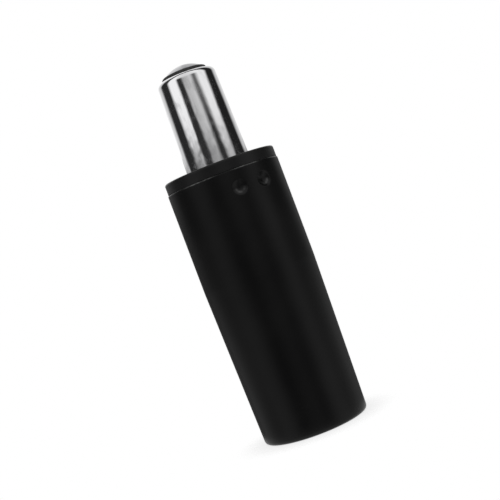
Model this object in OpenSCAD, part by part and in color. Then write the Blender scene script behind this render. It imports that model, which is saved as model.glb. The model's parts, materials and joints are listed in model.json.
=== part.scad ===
// Chair gas lift column. A black outer tube with a tapered foot holds a plastic guide sleeve.
// A gas spring slides in the sleeve, and turns on a ball thrust bearing at the foot of the tube.
// Sizes are in millimetres. The axis is Z, the foot stands on z = 0, and the spindle is at its lowest.

/* [Outer tube] */
// Outside diameter of the straight upper part
tube_d = 50; // [48:0.5:54]
// Height from the foot to the top edge
tube_h = 114.3; // [110:0.1:140]
// Wall thickness
tube_wall = 2; // [1.5:0.1:2.5]
// Height of the tapered foot that wedges into a chair base
foot_taper_h = 70; // [55:1:76]
// Half angle of the foot taper and the seat taper, in degrees
taper_angle = 1.43; // [1:0.01:1.6]
// Radius of the rounded edge at the foot
foot_edge_r = 1.5; // [0.5:0.1:2]
// Thickness of the lip rolled in under the base plate
foot_lip_t = 2; // [1.5:0.1:3]
// How far the lip reaches in under the base plate
foot_lip_w = 2.5; // [1.5:0.1:3.5]
// Radius of the rounded top edge
tube_edge_r = 0.4; // [0.2:0.1:0.7]

/* [Stake dents] */
// Diameter of a dent at the tube's surface
dent_d = 6.4; // [5:0.1:7.5]
// Depth of a dent
dent_depth = 1.2; // [0.8:0.1:1.6]
// Distance of the dents below the tube's top edge
dent_drop = 7.8; // [6:0.1:10]
// Plastic left in the sleeve under a dent's pocket
dent_land = 1.5; // [1:0.1:3]
// Angle between the two dents of a pair
dent_pitch = 27; // [24:1:40]
// Number of pairs round the tube
dent_pairs = 2; // [1:1:4]

/* [Guide sleeve] */
// How far the side of the collar stands in from the side of the tube
collar_inset = 0.3; // [0.1:0.05:1.5]
// Height of the collar
collar_h = 5; // [3:0.1:8]
// Radius of the collar's top edge
collar_edge_r = 0.8; // [0.3:0.1:1.5]
// Wall round the sleeve's bore
sleeve_wall = 3; // [2:0.1:4]
// Height of the plain ring at the sleeve's lower end
sleeve_foot_h = 6; // [3:0.5:9]
// Number of ribs between the sleeve's two rings
rib_count = 12; // [8:1:18]
// Thickness of a rib
rib_t = 2; // [1.2:0.1:3]
// Chamfer at both ends of the bore
bore_chamfer = 0.8; // [0.4:0.1:1.5]

/* [Spindle tube] */
// Outside diameter below the seat taper
spindle_d = 28; // [26.5:0.5:30]
// Wall thickness
spindle_wall = 2; // [1.5:0.1:2.3]
// Length of the seat taper, from the collar to the top of the spindle
seat_taper_h = 41.2; // [39:0.1:55]
// Radius of the shoulder at the top
shoulder_r = 2.6; // [1:0.1:2.8]
// Width of the flat land between the shoulder and the button
lip_land = 0.2; // [0.2:0.1:1]
// Gap round the rod at the bottom opening
rod_opening_gap = 3.5; // [2:0.1:4.5]
// Radius of the rolled edge at the bottom
spindle_edge_r = 1.5; // [0.5:0.1:2]
// Travel from the lowest to the highest position
stroke = 50; // [30:1:56]

/* [Release button and valve] */
// Height of the button's dome
dome_h = 2.9; // [2:0.1:5]
// Thickness of the rubber band round the button
button_band_t = 1.6; // [1.3:0.1:2]
// How far the rubber band stands up out of the spindle
button_band_rise = 1.6; // [1:0.1:2.5]
// Radius of the rubber band's upper edge
button_band_edge_r = 1; // [0.2:0.1:1.2]
// Travel of the button
button_travel = 3.5; // [2.5:0.1:4]
// Thickness of the button's crown and skirt
button_wall = 1.5; // [1:0.1:2.5]
// Height of the flange that keeps the button under the spindle's lip
button_flange_h = 1; // [0.6:0.1:1.5]
// How far the flange reaches under the lip
button_flange_w = 0.3; // [0.2:0.05:0.4]
// Diameter of the valve pin
pin_d = 4; // [3:0.1:5]
// Diameter of the valve pin's waist
pin_waist_d = 2.6; // [2:0.1:2.9]
// Length of full pin between the waist and the sealing ring on each side of it
waist_land = 0.8; // [0.5:0.1:1]
// Height of the pin's head under the cap
pin_head_h = 2.5; // [2:0.1:3]
// How far the pin's head stands out round the pin
pin_head_w = 1.2; // [0.8:0.1:1.5]
// Section of the pin's two sealing rings
pin_ring_t = 2; // [1.6:0.1:2.4]
// Height of the spacer between the pin's sealing rings
spacer_h = 6; // [5.5:0.1:9]
// Height of the cap under the lower ring
valve_cap_h = 4; // [3:0.1:6]
// Thickness of the valve body above the upper ring
valve_top_t = 3; // [2:0.1:5]
// Length of the spigot that enters the inner cylinder
valve_spigot_h = 6; // [5:0.1:9]
// Wall of that spigot
valve_spigot_wall = 2.4; // [2.2:0.1:2.8]
// Diameter of the gas ports
port_d = 1.6; // [1:0.1:2.2]
// Number of gas ports, and of slots that lead to them
port_count = 4; // [3:1:6]
// Width of the gas slots in the valve body and the rod guide
slot_w = 2.5; // [1.5:0.1:3.5]
// Depth of the gas slots
slot_depth = 1.5; // [1:0.1:2]

/* [Gas cylinder] */
// Gap for gas between the spindle tube and the inner cylinder
gas_gap = 2; // [1.5:0.1:2.5]
// Wall of the inner cylinder
inner_wall = 1; // [0.8:0.1:1.5]
// Height of the piston
piston_h = 10; // [9:0.5:14]
// Height of the piston's plastic band
band_h = 3; // [2:0.1:3.5]
// Thickness of the band
band_t = 0.9; // [0.6:0.1:1.5]
// Section of the sealing rings on the piston, the valve body and the rod guide
seal_ring_t = 1.8; // [1.4:0.1:2]
// Height of the rod guide's body
rod_guide_h = 10; // [7:0.5:14]
// Length of the rod guide's spigot
rod_guide_spigot_h = 4; // [3:0.5:6]
// Height of the rod seal
rod_seal_h = 5.5; // [4:0.5:8]
// Thickness of the disc under the rod seal
seal_disc_t = 1.5; // [1:0.1:3]

/* [Piston rod and clip] */
// Diameter of the rod
rod_d = 10; // [9:0.1:11]
// Diameter of the rod's neck in the bearing
rod_neck_d = 8; // [7:0.1:8.5]
// Diameter of the rod's end that is riveted over the piston
rivet_d = 6; // [5:0.1:7]
// Height of the rivet head
rivet_head_h = 1.5; // [1:0.1:2.5]
// How far the rivet head stands out round the rod's end
rivet_head_w = 1.2; // [0.8:0.1:2]
// Depth of the groove for the clip
groove_depth = 1; // [0.6:0.1:1.4]
// Length of the rod's tip below the clip
rod_tip_h = 2; // [1:0.1:3]
// Height of the rod's tip above the foot
tip_recess = 1.4; // [0.5:0.1:3]
// Diameter of the clip
clip_d = 16; // [13:0.5:20]
// Thickness of the clip
clip_t = 1.5; // [1:0.1:2]
// Diameter of the washer over the clip
clip_washer_d = 18; // [14:0.5:24]
// Thickness of the washers over the clip and on the piston
washer_t = 1.5; // [1:0.1:2]

/* [Base plate and bearing] */
// Thickness of the base plate
plate_t = 3; // [2:0.1:4]
// Diameter of the dish
dish_d = 28; // [25:0.5:30]
// Diameter of the bearing's races
race_d = 22; // [20:0.5:25]
// Thickness of a race
race_t = 1.5; // [1:0.1:2.5]
// Diameter of a bearing ball
ball_d = 3.2; // [2.5:0.1:3.5]
// Number of bearing balls
ball_count = 12; // [8:1:13]
// Thickness of the cage
cage_t = 1.6; // [1:0.1:2]
// Outside diameter of the rubber bump stop
bump_d = 21; // [18:0.5:24]
// Height of the bump stop
bump_h = 8; // [5:0.5:10]

/* [Clearances] */
// Between the spindle and the sleeve's bore
slide_gap = 0.06; // [0.03:0.01:0.1]
// Between sliding seals and what they seal on
seal_gap = 0.03; // [0.02:0.01:0.05]
// Between pieces that are fitted into each other
fit_gap = 0.05; // [0.02:0.01:0.1]
// Between pieces that turn or move past each other
run_gap = 0.15; // [0.1:0.01:0.2]
// Left at the end of a travel
end_gap = 0.3; // [0.2:0.05:0.5]

/* [Hidden] */
$fn = 96;
arc_steps = 8;
front = -90;
cut = 1;
taper = tan(taper_angle);

// Outer tube and base plate
tube_r = tube_d / 2;
tube_bore_r = tube_r - tube_wall;
function foot_r(z) = tube_r - max(0, foot_taper_h - z) * taper;
plate_r = foot_r(foot_lip_t) - tube_wall - fit_gap;
foot_lip_r = foot_r(foot_lip_t) - tube_wall - foot_lip_w;
dish_r = dish_d / 2;
plate_bend_r = plate_t / 3;

// Dents: each is the mark of a ball-ended punch
punch_r = (pow(dent_d / 2, 2) + pow(dent_depth, 2)) / (2 * dent_depth);
punch_axis_r = tube_r - dent_depth + punch_r;
dent_z = tube_h - dent_drop;
bulge_r = punch_r + tube_wall;
pocket_r = bulge_r + fit_gap;

// Guide sleeve
spindle_r = spindle_d / 2;
sleeve_bore_r = spindle_r + slide_gap;
sleeve_r = tube_bore_r - fit_gap;
sleeve_foot_z = foot_taper_h + end_gap;
pocket_mouth_r = sqrt(pow(pocket_r, 2) - pow(punch_axis_r - sleeve_r, 2));
sleeve_ring_z = dent_z - pocket_mouth_r - dent_land;
rib_angle = 2 * asin(rib_t / 2 / sleeve_r);
collar_top = tube_h + collar_h;

// Stack on the base plate, from the clip up
clip_z = tip_recess + rod_tip_h;
clip_washer_z = clip_z + clip_t;
plate_rise = clip_washer_z + washer_t + run_gap;
plate_top = plate_rise + plate_t;
groove_r = rod_neck_d / 2 - groove_depth;
race_gap = ball_d + 2 * fit_gap;
upper_race_z = plate_top + race_t + race_gap;
ball_z = plate_top + race_t + race_gap / 2;
rod_shoulder_z = upper_race_z + race_t;
race_r = race_d / 2;
race_bore_r = rod_neck_d / 2 + run_gap;
ball_track_r = (race_r + race_bore_r) / 2;
bump_top = rod_shoulder_z + bump_h;

// Spindle tube
function spindle_out_r(z) = spindle_r - max(0, z - collar_top) * taper;
function spindle_bore_r(z) = spindle_out_r(z) - spindle_wall;
spindle_foot = bump_top + end_gap;
spindle_top = collar_top + seat_taper_h;
shoulder_z = spindle_top - shoulder_r;
shoulder_axis_r = spindle_out_r(shoulder_z) - shoulder_r / cos(taper_angle);
lip_r = shoulder_axis_r - lip_land;
lip_z = spindle_top - spindle_wall;
rod_r = rod_d / 2;
foot_opening_r = rod_r + rod_opening_gap;

// Pieces stacked in the foot of the spindle
plug_r = spindle_r - spindle_wall - fit_gap;
seal_disc_z = spindle_foot + spindle_wall;
rod_seal_z = seal_disc_z + seal_disc_t;
rod_guide_z = rod_seal_z + rod_seal_h;
rod_guide_top = rod_guide_z + rod_guide_h;
rod_guide_spigot_top = rod_guide_top + rod_guide_spigot_h;
inner_r = spindle_r - spindle_wall - gas_gap;
inner_bore_r = inner_r - inner_wall;
spigot_r = inner_bore_r - fit_gap;

// Piston on the end of the rod
piston_z = rod_guide_spigot_top + stroke + end_gap;
piston_top = piston_z + piston_h;
piston_r = inner_bore_r - fit_gap;
rivet_z = piston_top + washer_t;
rivet_head_r = rivet_d / 2 + rivet_head_w;
seal_r = seal_ring_t / 2;

// Button and valve, from the top down
button_r = lip_r - run_gap;
crown_r = button_r - button_band_t;
dome_base_z = spindle_top + button_band_rise;
dome_r = (pow(crown_r, 2) + pow(dome_h, 2)) / (2 * dome_h);
button_flange_z = lip_z - fit_gap - button_flange_h;
button_flange_r = lip_r + button_flange_w;
valve_top = button_flange_z - button_travel - end_gap;
pin_r = pin_d / 2;
pin_ring_r = pin_ring_t / 2;
valve_bore_r = pin_r + pin_ring_t + seal_gap + fit_gap;
upper_ring_z = valve_top - valve_top_t - pin_ring_r;
spacer_z = upper_ring_z - pin_ring_r - spacer_h;
lower_ring_z = spacer_z - pin_ring_r;
valve_floor = lower_ring_z - pin_ring_r - valve_cap_h;
valve_spigot_z = valve_floor - valve_spigot_h;
port_z = spacer_z + spacer_h / 2;
waist_top = spacer_z + spacer_h - waist_land;
waist_bottom = spacer_z + waist_land;
pin_head_r = pin_r + pin_head_w;
pin_top = dome_base_z;
boss_r = pin_r + button_wall;
valve_groove_z = valve_top - valve_top_t / 2 - seal_ring_t;
spigot_groove_z = valve_floor - valve_spigot_h / 2;

paint_black = [0.06, 0.06, 0.065];
plastic_black = [0.1, 0.1, 0.1];
chrome = [0.82, 0.82, 0.84];
steel = [0.62, 0.63, 0.65];
aluminium = [0.74, 0.75, 0.77];
brass = [0.74, 0.6, 0.33];
rubber = [0.13, 0.13, 0.13];

// Points of an arc in a profile, where x is the radius from the axis and y is the height
function arc(centre, r, from, to) =
    [for (i = [0:arc_steps]) let (a = from + (to - from) * i / arc_steps) centre + r * [cos(a), sin(a)]];

module ring(z, h, r_in, r_out) {
    rotate_extrude() translate([r_in, z]) square([r_out - r_in, h]);
}

module o_ring(z, r, section_r) {
    rotate_extrude() translate([r, z]) circle(r = section_r);
}

module seal_groove(z, floor_r, r_out) {
    ring(z - seal_r - fit_gap, seal_ring_t + 2 * fit_gap, floor_r - fit_gap, r_out);
}

module round_about(count, from = 0) {
    for (i = [0:count - 1]) rotate(from + i * 360 / count) children();
}

module at_dents() {
    round_about(dent_pairs, front)
        for (side = [-1, 1]) rotate(side * dent_pitch / 2) translate([punch_axis_r, 0, dent_z]) children();
}

// Tapered tube with a rolled foot, dented into the guide sleeve near its top
module outer_tube() {
    foot_axis_r = foot_r(foot_edge_r) - foot_edge_r / cos(taper_angle);
    outline = concat(
        [[foot_lip_r, foot_lip_t], [foot_lip_r, 0]],
        arc([foot_axis_r, foot_edge_r], foot_edge_r, -90, -taper_angle),
        [[tube_r, foot_taper_h]],
        arc([tube_r - tube_edge_r, tube_h - tube_edge_r], tube_edge_r, 0, 90),
        [[tube_bore_r, tube_h], [tube_bore_r, foot_taper_h], [foot_r(foot_lip_t) - tube_wall, foot_lip_t]]);
    color(paint_black) difference() {
        union() {
            rotate_extrude() polygon(outline);
            intersection() {
                at_dents() sphere(bulge_r);
                cylinder(r = tube_r - tube_wall / 2, h = tube_h);
            }
        }
        at_dents() sphere(punch_r);
    }
}

// Dished plate that stands on the foot's lip and carries the bearing
module base_plate() {
    neck_hole_r = rod_neck_d / 2 + run_gap;
    riser_r = dish_r + plate_t;
    outline = concat(
        [[neck_hole_r, plate_rise]],
        arc([dish_r - plate_bend_r, plate_rise - plate_bend_r], plate_bend_r, 90, 0),
        [[dish_r, foot_lip_t], [plate_r, foot_lip_t], [plate_r, foot_lip_t + plate_t]],
        arc([riser_r + plate_bend_r, foot_lip_t + plate_t + plate_bend_r], plate_bend_r, -90, -180),
        arc([riser_r - plate_bend_r, plate_top - plate_bend_r], plate_bend_r, 0, 90),
        [[neck_hole_r, plate_top]]);
    color(steel) rotate_extrude() polygon(outline);
}

// Moulded sleeve: a collar on the tube's edge, a ring with pockets for the dents, ribs, and a lower ring
module guide_sleeve() {
    collar_r = tube_r - collar_inset;
    outline = concat(
        [[sleeve_bore_r + bore_chamfer, sleeve_foot_z], [sleeve_r, sleeve_foot_z], [sleeve_r, tube_h],
            [collar_r, tube_h]],
        arc([collar_r - collar_edge_r, collar_top - collar_edge_r], collar_edge_r, 0, 90),
        [[sleeve_bore_r + bore_chamfer, collar_top], [sleeve_bore_r, collar_top - bore_chamfer],
            [sleeve_bore_r, sleeve_foot_z + bore_chamfer]]);
    window_z = sleeve_foot_z + sleeve_foot_h;
    window_r = sleeve_bore_r + sleeve_wall;
    color(plastic_black) difference() {
        rotate_extrude() polygon(outline);
        at_dents() sphere(pocket_r);
        round_about(rib_count, rib_angle / 2)
            rotate_extrude(angle = 360 / rib_count - rib_angle) translate([window_r, window_z])
                square([sleeve_r + cut - window_r, sleeve_ring_z - window_z]);
    }
}

module race(z) {
    color(steel) ring(z, race_t, race_bore_r, race_r);
}

module lower_race() {
    race(plate_top);
}

module upper_race() {
    race(upper_race_z);
}

module at_balls() {
    round_about(ball_count) translate([ball_track_r, 0, ball_z]) children();
}

module bearing_cage() {
    cage_w = race_r - race_bore_r - 2 * end_gap;
    color(brass) difference() {
        ring(ball_z - cage_t / 2, cage_t, ball_track_r - cage_w / 2, ball_track_r + cage_w / 2);
        at_balls() cylinder(d = ball_d + 2 * fit_gap, h = cage_t + 2 * cut, center = true);
    }
}

module bearing_balls() {
    color(steel) at_balls() sphere(d = ball_d);
}

// Rubber ring that the spindle comes down on, with a waist so that it can bulge
module bump_stop() {
    bump_r = bump_d / 2;
    bump_bore_r = rod_r + run_gap;
    waist_r = bump_h / 6;
    color(rubber) rotate_extrude() difference() {
        translate([bump_bore_r, rod_shoulder_z]) square([bump_r - bump_bore_r, bump_h]);
        translate([bump_r, rod_shoulder_z + bump_h / 2]) circle(waist_r);
    }
}

// Rod with a necked and grooved lower end, and an upper end that is riveted over the piston
module piston_rod() {
    neck_r = rod_neck_d / 2;
    tip_chamfer = min(groove_depth, rod_tip_h) / 2;
    outline = [[0, tip_recess], [neck_r - tip_chamfer, tip_recess], [neck_r, tip_recess + tip_chamfer],
        [neck_r, clip_z - fit_gap], [groove_r, clip_z - fit_gap], [groove_r, clip_washer_z],
        [neck_r, clip_washer_z], [neck_r, rod_shoulder_z], [rod_r, rod_shoulder_z], [rod_r, piston_z],
        [rivet_d / 2, piston_z], [rivet_d / 2, rivet_z], [rivet_head_r, rivet_z],
        [rivet_d / 2, rivet_z + rivet_head_h], [0, rivet_z + rivet_head_h]];
    color(steel) rotate_extrude() polygon(outline);
}

// Horseshoe clip that is pushed into the rod's groove from one side
module retaining_clip() {
    mouth_r = groove_r + fit_gap;
    clip_r = clip_d / 2;
    flat_x = (mouth_r + clip_r) / 2;
    color(steel) translate([0, 0, clip_z]) linear_extrude(clip_t) difference() {
        circle(clip_r);
        circle(mouth_r);
        translate([0, -mouth_r]) square([clip_d, 2 * mouth_r]);
        translate([flat_x, -clip_r]) square([clip_r, clip_d]);
    }
}

module clip_washer() {
    color(steel) ring(clip_washer_z, washer_t, rod_neck_d / 2 + fit_gap, clip_washer_d / 2);
}

// Piston with a groove for its sealing ring below, and one for its plastic band above
module piston() {
    ring_z = piston_z + piston_h / 4;
    band_z = piston_z + piston_h * 3 / 4;
    color(aluminium) difference() {
        ring(piston_z, piston_h, rivet_d / 2 + fit_gap, piston_r);
        seal_groove(ring_z, piston_r - seal_ring_t, piston_r + cut);
        ring(band_z - band_h / 2 - fit_gap, band_h + 2 * fit_gap, piston_r - band_t - fit_gap,
            piston_r + cut);
    }
}

module piston_ring() {
    color(rubber) o_ring(piston_z + piston_h / 4, inner_bore_r - seal_gap - seal_r, seal_r);
}

module piston_band() {
    band_r = inner_bore_r - seal_gap;
    color(plastic_black) ring(piston_z + piston_h * 3 / 4 - band_h / 2, band_h, band_r - band_t, band_r);
}

module piston_washer() {
    color(steel) ring(piston_top, washer_t, rivet_d / 2 + fit_gap, piston_r - seal_ring_t);
}

// Chromed tube, tapered above the collar and rolled in at both ends
module spindle_tube() {
    foot_axis_r = spindle_r - spindle_edge_r;
    outline = concat(
        [[foot_opening_r, spindle_foot]],
        arc([foot_axis_r, spindle_foot + spindle_edge_r], spindle_edge_r, -90, 0),
        [[spindle_r, collar_top]],
        arc([shoulder_axis_r, shoulder_z], shoulder_r, taper_angle, 90),
        [[lip_r, spindle_top], [lip_r, lip_z], [spindle_bore_r(lip_z), lip_z],
            [spindle_bore_r(collar_top), collar_top], [spindle_bore_r(collar_top), seal_disc_z],
            [foot_opening_r, seal_disc_z]]);
    color(chrome) rotate_extrude() polygon(outline);
}

module inner_cylinder() {
    color(steel) ring(rod_guide_top, valve_floor - rod_guide_top, inner_bore_r, inner_r);
}

module seal_disc() {
    color(steel) ring(seal_disc_z, seal_disc_t, rod_r + run_gap, plug_r);
}

// Rubber seal with a lip on the rod and a lip on the tube, parted by a groove on the gas side
module rod_seal() {
    lip_w = (plug_r - rod_r) / 3;
    color(rubber) difference() {
        ring(rod_seal_z, rod_seal_h, rod_r + seal_gap, plug_r);
        ring(rod_seal_z + rod_seal_h / 2, rod_seal_h, rod_r + lip_w, plug_r - lip_w);
    }
}

// Guide for the rod, with a spigot for the inner cylinder and slots that let gas out under it
module rod_guide() {
    ring_z = rod_guide_z + rod_guide_h / 2;
    color(aluminium) difference() {
        union() {
            ring(rod_guide_z, rod_guide_h, rod_r + slide_gap, plug_r);
            ring(rod_guide_top - cut, rod_guide_spigot_h + cut, rod_r + slide_gap, spigot_r);
        }
        seal_groove(ring_z, plug_r - seal_ring_t, plug_r + cut);
        round_about(port_count) translate([rod_r + inner_wall, -slot_w / 2, rod_guide_top - slot_depth])
            cube([plug_r, slot_w, slot_depth + rod_guide_spigot_h + cut]);
    }
}

module rod_guide_ring() {
    color(rubber) o_ring(rod_guide_z + rod_guide_h / 2, plug_r - seal_r, seal_r);
}

// Body wedged in the seat taper: gas goes up its slots and in through its ports to the valve pin
module valve_body() {
    function side_r(z) = spindle_bore_r(z) - fit_gap;
    slot_floor_r = side_r(valve_top) - slot_depth;
    hollow_r = spigot_r - valve_spigot_wall;
    outline = [[pin_r + slide_gap, valve_top], [side_r(valve_top), valve_top],
        [side_r(valve_floor), valve_floor], [spigot_r, valve_floor], [spigot_r, valve_spigot_z],
        [hollow_r, valve_spigot_z], [hollow_r, valve_floor], [valve_bore_r, valve_floor],
        [valve_bore_r, upper_ring_z + pin_ring_r],
        [pin_r + slide_gap, upper_ring_z + pin_ring_r]];
    color(aluminium) difference() {
        rotate_extrude() polygon(outline);
        seal_groove(valve_groove_z, side_r(valve_groove_z + seal_ring_t) - seal_ring_t, spindle_r);
        seal_groove(spigot_groove_z, spigot_r - seal_ring_t, spigot_r + cut);
        ring(port_z - port_d, 2 * port_d, slot_floor_r, spindle_r);
        round_about(port_count) {
            translate([slot_floor_r, -slot_w / 2, valve_floor - cut])
                cube([spindle_r, slot_w, port_z - valve_floor + cut]);
            translate([0, 0, port_z]) rotate([0, 90, 0]) cylinder(d = port_d, h = spindle_r);
        }
    }
}

module valve_body_ring() {
    ring_r = spindle_bore_r(valve_groove_z + seal_r) - seal_gap - seal_r;
    color(rubber) o_ring(valve_groove_z, ring_r, seal_r);
}

module cylinder_ring() {
    color(rubber) o_ring(spigot_groove_z, inner_bore_r - seal_gap - seal_r, seal_r);
}

module pin_rings() {
    color(rubber) for (z = [upper_ring_z, lower_ring_z]) o_ring(z, pin_r + seal_gap + pin_ring_r, pin_ring_r);
}

module seal_spacer() {
    color(plastic_black) difference() {
        ring(spacer_z, spacer_h, pin_r + 2 * run_gap, valve_bore_r - fit_gap);
        round_about(port_count) translate([0, 0, port_z]) rotate([0, 90, 0])
            cylinder(d = port_d, h = spindle_r);
    }
}

module valve_cap() {
    color(brass) ring(valve_floor, valve_cap_h, pin_r + 2 * run_gap, valve_bore_r - fit_gap);
}

// Pin with a waist that lets gas past the lower sealing ring when the button is pressed
module valve_pin() {
    pin_waist_r = pin_waist_d / 2;
    head_top = valve_floor - fit_gap;
    outline = [[0, head_top - pin_head_h], [pin_head_r, head_top - pin_head_h], [pin_head_r, head_top],
        [pin_r, head_top], [pin_r, waist_bottom], [pin_waist_r, waist_bottom + pin_r - pin_waist_r],
        [pin_waist_r, waist_top - pin_r + pin_waist_r], [pin_r, waist_top], [pin_r, pin_top], [0, pin_top]];
    color(steel) rotate_extrude() polygon(outline);
}

// Domed button, hollow round the boss that is pressed onto the valve pin
module release_button() {
    hollow_r = crown_r - button_wall;
    color(steel) rotate_extrude() difference() {
        union() {
            intersection() {
                translate([0, dome_base_z + dome_h - dome_r]) circle(dome_r);
                translate([0, dome_base_z]) square([crown_r, dome_h + cut]);
            }
            translate([0, button_flange_z]) square([crown_r, dome_base_z - button_flange_z]);
            translate([0, button_flange_z]) square([button_flange_r, button_flange_h]);
        }
        translate([boss_r, button_flange_z - cut])
            square([hollow_r - boss_r, dome_base_z + dome_h / 3 - button_wall - button_flange_z + cut]);
        translate([0, button_flange_z - cut]) square([pin_r + fit_gap / 2, pin_top - button_flange_z + cut]);
    }
}

// Rubber band that stands on the button's flange and closes the gap at the spindle's lip
module button_band() {
    band_bore_r = crown_r + fit_gap;
    band_foot = button_flange_z + button_flange_h;
    outline = concat(
        [[band_bore_r, band_foot], [button_r, band_foot]],
        arc([button_r - button_band_edge_r, dome_base_z - button_band_edge_r], button_band_edge_r, 0, 90),
        [[band_bore_r, dome_base_z]]);
    color(rubber) rotate_extrude() polygon(outline);
}

outer_tube();
base_plate();
guide_sleeve();
lower_race();
bearing_cage();
bearing_balls();
upper_race();
bump_stop();
piston_rod();
retaining_clip();
clip_washer();
piston();
piston_ring();
piston_band();
piston_washer();
spindle_tube();
inner_cylinder();
seal_disc();
rod_seal();
rod_guide();
rod_guide_ring();
valve_body();
valve_body_ring();
cylinder_ring();
pin_rings();
seal_spacer();
valve_cap();
valve_pin();
release_button();
button_band();
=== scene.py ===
import json
import math

import bpy
import numpy as np
from mathutils import Matrix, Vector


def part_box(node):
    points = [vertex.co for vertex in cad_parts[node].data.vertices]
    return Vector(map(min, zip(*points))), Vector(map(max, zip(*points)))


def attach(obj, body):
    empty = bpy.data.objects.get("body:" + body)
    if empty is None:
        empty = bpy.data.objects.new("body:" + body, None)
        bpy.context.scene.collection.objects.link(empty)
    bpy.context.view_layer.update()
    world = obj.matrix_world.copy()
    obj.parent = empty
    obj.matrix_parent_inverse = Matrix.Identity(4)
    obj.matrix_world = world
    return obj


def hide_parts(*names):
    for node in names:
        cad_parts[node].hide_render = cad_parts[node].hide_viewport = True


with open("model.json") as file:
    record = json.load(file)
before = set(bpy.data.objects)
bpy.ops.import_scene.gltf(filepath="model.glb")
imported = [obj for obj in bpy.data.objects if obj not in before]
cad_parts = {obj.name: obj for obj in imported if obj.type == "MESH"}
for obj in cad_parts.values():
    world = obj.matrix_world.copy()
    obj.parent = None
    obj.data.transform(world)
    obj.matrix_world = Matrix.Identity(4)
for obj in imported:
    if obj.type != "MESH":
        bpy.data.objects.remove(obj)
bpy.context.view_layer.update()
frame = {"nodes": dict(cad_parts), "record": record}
mm = 0.001
taper = math.tan(math.radians(1.43))  # half angle of both cones
slots = {row["node"]: row["material_slot"] for row in frame["record"]["subparts"]}
print("frame loaded,", len(frame["nodes"]), "nodes")


# Shaping

def filletPath(corners, closed=True, arcSteps=9, guard=0.25 * mm, guardShare=0.3):
    # Rounds the corners of a profile, given as rows of (radius, height, edge). Each corner is cut back
    # by its edge times the tangent of half its turn, an arc swings from cut to cut, and a guard row on
    # each side keeps flats flat.
    corners = np.array(corners, float)
    points, edges = corners[:, :2], corners[:, 2]
    segment = points - np.roll(points, 1, axis=0)
    length = np.linalg.norm(segment, axis=1)
    arrive = segment / length[:, None]
    leave = np.roll(arrive, -1, axis=0)
    across = arrive[:, 0] * leave[:, 1] - arrive[:, 1] * leave[:, 0]
    turn = np.arctan2(across, (arrive * leave).sum(axis=1))
    cut = edges * np.tan(np.abs(turn) / 2)
    guardIn = np.minimum(guard, guardShare * (length - cut - np.roll(cut, 1)))
    guardOut = np.roll(guardIn, -1)
    start = points - arrive * cut[:, None]
    side = np.sign(turn)[:, None] * np.stack([-arrive[:, 1], arrive[:, 0]], axis=1)
    centre = start + side * edges[:, None]
    swing = turn[:, None] * np.linspace(0, 1, arcSteps)
    spoke = (start - centre)[:, None, :]
    arcX = spoke[..., 0] * np.cos(swing) - spoke[..., 1] * np.sin(swing)
    arcY = spoke[..., 0] * np.sin(swing) + spoke[..., 1] * np.cos(swing)
    arcs = centre[:, None, :] + np.stack([arcX, arcY], axis=-1)
    before = start - arrive * guardIn[:, None]
    after = points + leave * (cut + guardOut)[:, None]
    rows = np.concatenate([before[:, None], arcs, after[:, None]], axis=1)
    if closed:
        return rows.reshape(-1, 2)
    return np.concatenate([points[:1], rows[1:-1].reshape(-1, 2), points[-1:]])


def rowsAtHeights(rows, heights):
    # Adds rows where a closed profile crosses the given heights, straight along each segment
    loop = np.concatenate([rows, rows[:1]])
    low, high = loop[:-1, 1:2], loop[1:, 1:2]
    crosses = (low - heights) * (high - heights) < 0
    share = (heights - low) / np.where(crosses, high - low, 1)
    place = np.arange(len(rows))
    added = (place[:, None] + share)[crosses]
    everywhere = np.sort(np.concatenate([place, added]))
    steps = np.arange(len(loop))
    return np.stack([np.interp(everywhere, steps, loop[:, k]) for k in (0, 1)], axis=1)


def revolve(rows, angles):
    # Carries a profile round Z: x = r cos a, y = r sin a, z as it is
    r, z = rows[:, None, 0], rows[:, None, 1]
    z = np.broadcast_to(z, (len(rows), len(angles)))
    return np.stack([r * np.cos(angles), r * np.sin(angles), z], axis=-1)


def gridPiece(name, points, closed=True, sharpDegrees=35):
    # A mesh from a grid of points, rows along the profile and columns round it. A closed profile
    # wraps to its first row, and an open one ends in a pole at each end.
    rows, columns = points.shape[:2]
    index = np.arange(rows * columns).reshape(rows, columns)
    if closed:
        vertices = points.reshape(-1, 3)
        index = np.concatenate([index, index[:1]])
        fans = []
    else:
        vertices = np.concatenate([points[0, :1], points[1:-1].reshape(-1, 3), points[-1, :1]])
        index = index[:-2] + 1
        last = np.full(columns, len(vertices) - 1)
        fans = np.stack([0 * last, np.roll(index[0], -1), index[0]], axis=1).tolist()
        fans += np.stack([index[-1], np.roll(index[-1], -1), last], axis=1).tolist()
    beside = np.roll(index, -1, axis=1)
    quads = np.stack([index[:-1], beside[:-1], beside[1:], index[1:]], axis=-1).reshape(-1, 4)
    mesh = bpy.data.meshes.new(name)
    mesh.from_pydata(vertices, [], quads.tolist() + fans)
    mesh.shade_smooth()
    mesh.set_sharp_from_angle(angle=math.radians(sharpDegrees))
    piece = bpy.data.objects.new(name, mesh)
    bpy.context.scene.collection.objects.link(piece)
    return piece


def fit(piece, body, node):
    # Hangs a piece on its CAD body in place of its CAD node, with that node's finish
    piece.data.materials.append(finishes[slots[node]])
    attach(piece, body)
    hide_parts(node)
    print("made", piece.name, "for", node, "with", len(piece.data.polygons), "faces")


def turnPiece(name, rows, columns, body, node, closed=True):
    # A piece from a profile that is carried round Z in even steps
    angles = np.arange(columns) * (2 * math.pi / columns)
    fit(gridPiece(name, revolve(rows, angles), closed), body, node)


# Shader maths

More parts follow.
